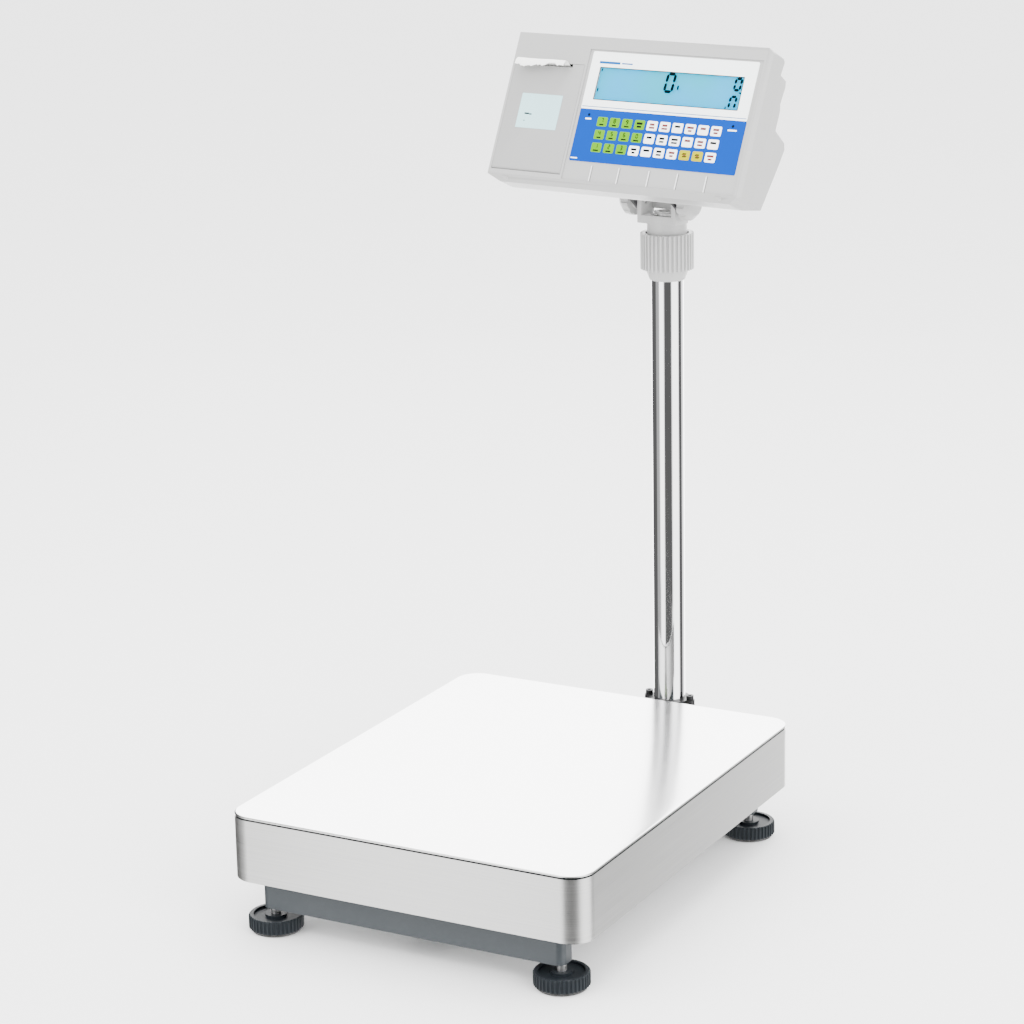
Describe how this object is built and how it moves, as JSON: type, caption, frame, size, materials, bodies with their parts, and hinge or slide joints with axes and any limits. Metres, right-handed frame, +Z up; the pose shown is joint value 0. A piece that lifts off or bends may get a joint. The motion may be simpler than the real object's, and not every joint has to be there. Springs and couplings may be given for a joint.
{
  "type": "bench scale",
  "caption": "Platform weighing scale with a stainless pan, levelling feet, a pillar and a swivelling, tilting indicator that has a display, a membrane keypad and a label printer.",
  "frame": {"origin": "on the floor, under the middle of the overall bounding box", "axes": "+Z up, +X to the right of a user facing the display, +Y to the back, towards the pillar"},
  "size_m": [0.4, 0.65, 0.839],
  "materials": {
    "base_paint": "slate grey powder coat",
    "stainless": "stainless steel, brushed along the skirt",
    "frame_zinc": "zinc plated steel",
    "aluminium": "milled aluminium",
    "chrome": "polished tube",
    "black_casting": "black paint",
    "bolt_steel": "zinc plated fastener",
    "black_screw": "black oxide screw",
    "foot_plastic": "dark grey moulded nylon",
    "rubber": "black rubber",
    "grey_plastic": "light warm grey moulded plastic",
    "fitting_plastic": "light grey moulded plastic",
    "black_plastic": "black moulded plastic",
    "clear": "clear window",
    "level_fluid": "green vial",
    "overlay": "printed membrane, white above and blue below, with green, yellow and white keys",
    "lcd": "lit display glass",
    "circuit_board": "green circuit board",
    "battery_wrap": "battery case",
    "port_steel": "nickel plated connector shell",
    "print_head": "aluminium heat sink",
    "platen_rubber": "grey black roller rubber",
    "paper": "thermal paper",
    "sticker": "pale blue label"
  },
  "bodies": {
    "base": {"base_frame": "base_paint", "load_cell": "aluminium", "lower_cell_plate": "frame_zinc", "lower_cell_bolts": "bolt_steel", "overload_stops": "bolt_steel", "cable_gland": "black_plastic", "pillar_bracket": "base_paint", "bracket_bolts": "bolt_steel", "pillar_socket": "black_casting", "socket_screws": "black_screw", "pillar_tube": "chrome", "level_body": "black_plastic", "level_vial": "level_fluid", "head_stem": "fitting_plastic", "stem_ring": "bolt_steel", "foot_pads": "rubber"},
    "platform": {"upper_frame": "frame_zinc", "upper_cell_plate": "frame_zinc", "upper_cell_bolts": "bolt_steel", "pan_buffers": "rubber"},
    "pan": {"pan": "stainless"},
    "lock_collar": {"lock_collar": "fitting_plastic"},
    "swivel_yoke": {"swivel_yoke": "fitting_plastic"},
    "left_knob": {"left_tilt_knob": "fitting_plastic", "left_knob_stud": "bolt_steel"},
    "right_knob": {"right_tilt_knob": "fitting_plastic", "right_knob_stud": "bolt_steel"},
    "indicator": {"front_shell": "grey_plastic", "rear_shell": "grey_plastic", "shell_screws": "bolt_steel", "keypad_overlay": "overlay", "display_window": "clear", "lcd_panel": "lcd", "main_board": "circuit_board", "battery": "battery_wrap", "cell_socket": "black_plastic", "serial_port": "port_steel", "power_inlet": "black_plastic", "tilt_bracket": "frame_zinc", "case_screws": "bolt_steel", "lid_hinge_pin": "bolt_steel", "print_head": "print_head", "printer_chassis": "black_plastic"},
    "printer_lid": {"printer_lid": "grey_plastic", "paper_strip": "paper", "label_sticker": "sticker"},
    "platen": {"platen_roller": "platen_rubber"},
    "paper_roll": {"paper_roll": "paper"},
    "power_rocker": {"power_rocker": "black_plastic"},
    "front_left_foot": {"front_left_foot_disc": "foot_plastic", "front_left_foot_stud": "bolt_steel"},
    "front_right_foot": {"front_right_foot_disc": "foot_plastic", "front_right_foot_stud": "bolt_steel"},
    "rear_left_foot": {"rear_left_foot_disc": "foot_plastic", "rear_left_foot_stud": "bolt_steel"},
    "rear_right_foot": {"rear_right_foot_disc": "foot_plastic", "rear_right_foot_stud": "bolt_steel"}
  },
  "joints": [
    {"name": "load_travel", "type": "slide", "parent": "base", "child": "platform", "axis": [0, 0, 1], "range_m": [-0.0007, 0], "stiffness_N_per_m": 1000000, "springref_m": 0.0001, "deforming": ["load_cell"]},
    {"name": "pan_lift", "type": "slide", "parent": "platform", "child": "pan", "axis": [0, 0, 1], "range_m": [0, 0.12]},
    {"name": "lock_collar_turn", "type": "hinge", "parent": "base", "child": "lock_collar", "pos_m": [0, 0.2863, 0.6045], "axis": [0, 0, 1], "range_deg": [0, 180]},
    {"name": "head_swivel", "type": "hinge", "parent": "base", "child": "swivel_yoke", "pos_m": [0, 0.2863, 0.6345], "axis": [0, 0, 1], "range_deg": [-160, 160]},
    {"name": "indicator_tilt", "type": "hinge", "parent": "swivel_yoke", "child": "indicator", "pos_m": [-0.00181, 0.27444, 0.661], "axis": [0.9885, -0.1513, 0], "range_deg": [-30, 22]},
    {"name": "left_knob_turn", "type": "hinge", "parent": "swivel_yoke", "child": "left_knob", "pos_m": [-0.03938, 0.28019, 0.661], "axis": [-0.9885, 0.1513, 0], "range_deg": [0, 360]},
    {"name": "right_knob_turn", "type": "hinge", "parent": "swivel_yoke", "child": "right_knob", "pos_m": [0.03575, 0.26869, 0.661], "axis": [0.9885, -0.1513, 0], "range_deg": [0, 360]},
    {"name": "printer_lid_open", "type": "hinge", "parent": "indicator", "child": "printer_lid", "pos_m": [-0.12556, 0.19957, 0.69997], "axis": [0.9885, -0.1513, 0], "range_deg": [0, 80]},
    {"name": "platen_spin", "type": "hinge", "parent": "printer_lid", "child": "platen", "pos_m": [-0.11805, 0.24865, 0.79719], "axis": [0.9885, -0.1513, 0], "continuous": true},
    {"name": "paper_roll_spin", "type": "hinge", "parent": "indicator", "child": "paper_roll", "pos_m": [-0.12461, 0.2488, 0.72866], "axis": [0.9885, -0.1513, 0], "continuous": true},
    {"name": "power_switch_rock", "type": "hinge", "parent": "indicator", "child": "power_rocker", "pos_m": [0.12826, 0.21874, 0.69297], "axis": [0.9885, -0.1513, 0], "range_deg": [0, 12]},
    {"name": "front_left_foot_turn", "type": "hinge", "parent": "base", "child": "front_left_foot", "pos_m": [-0.162, -0.297, 0.01], "axis": [0, 0, 1], "range_deg": [-1080, 720]},
    {"name": "front_right_foot_turn", "type": "hinge", "parent": "base", "child": "front_right_foot", "pos_m": [0.162, -0.297, 0.01], "axis": [0, 0, 1], "range_deg": [-1080, 720]},
    {"name": "rear_left_foot_turn", "type": "hinge", "parent": "base", "child": "rear_left_foot", "pos_m": [-0.162, 0.143, 0.01], "axis": [0, 0, 1], "range_deg": [-1080, 720]},
    {"name": "rear_right_foot_turn", "type": "hinge", "parent": "base", "child": "rear_right_foot", "pos_m": [0.162, 0.143, 0.01], "axis": [0, 0, 1], "range_deg": [-1080, 720]}
  ]
}
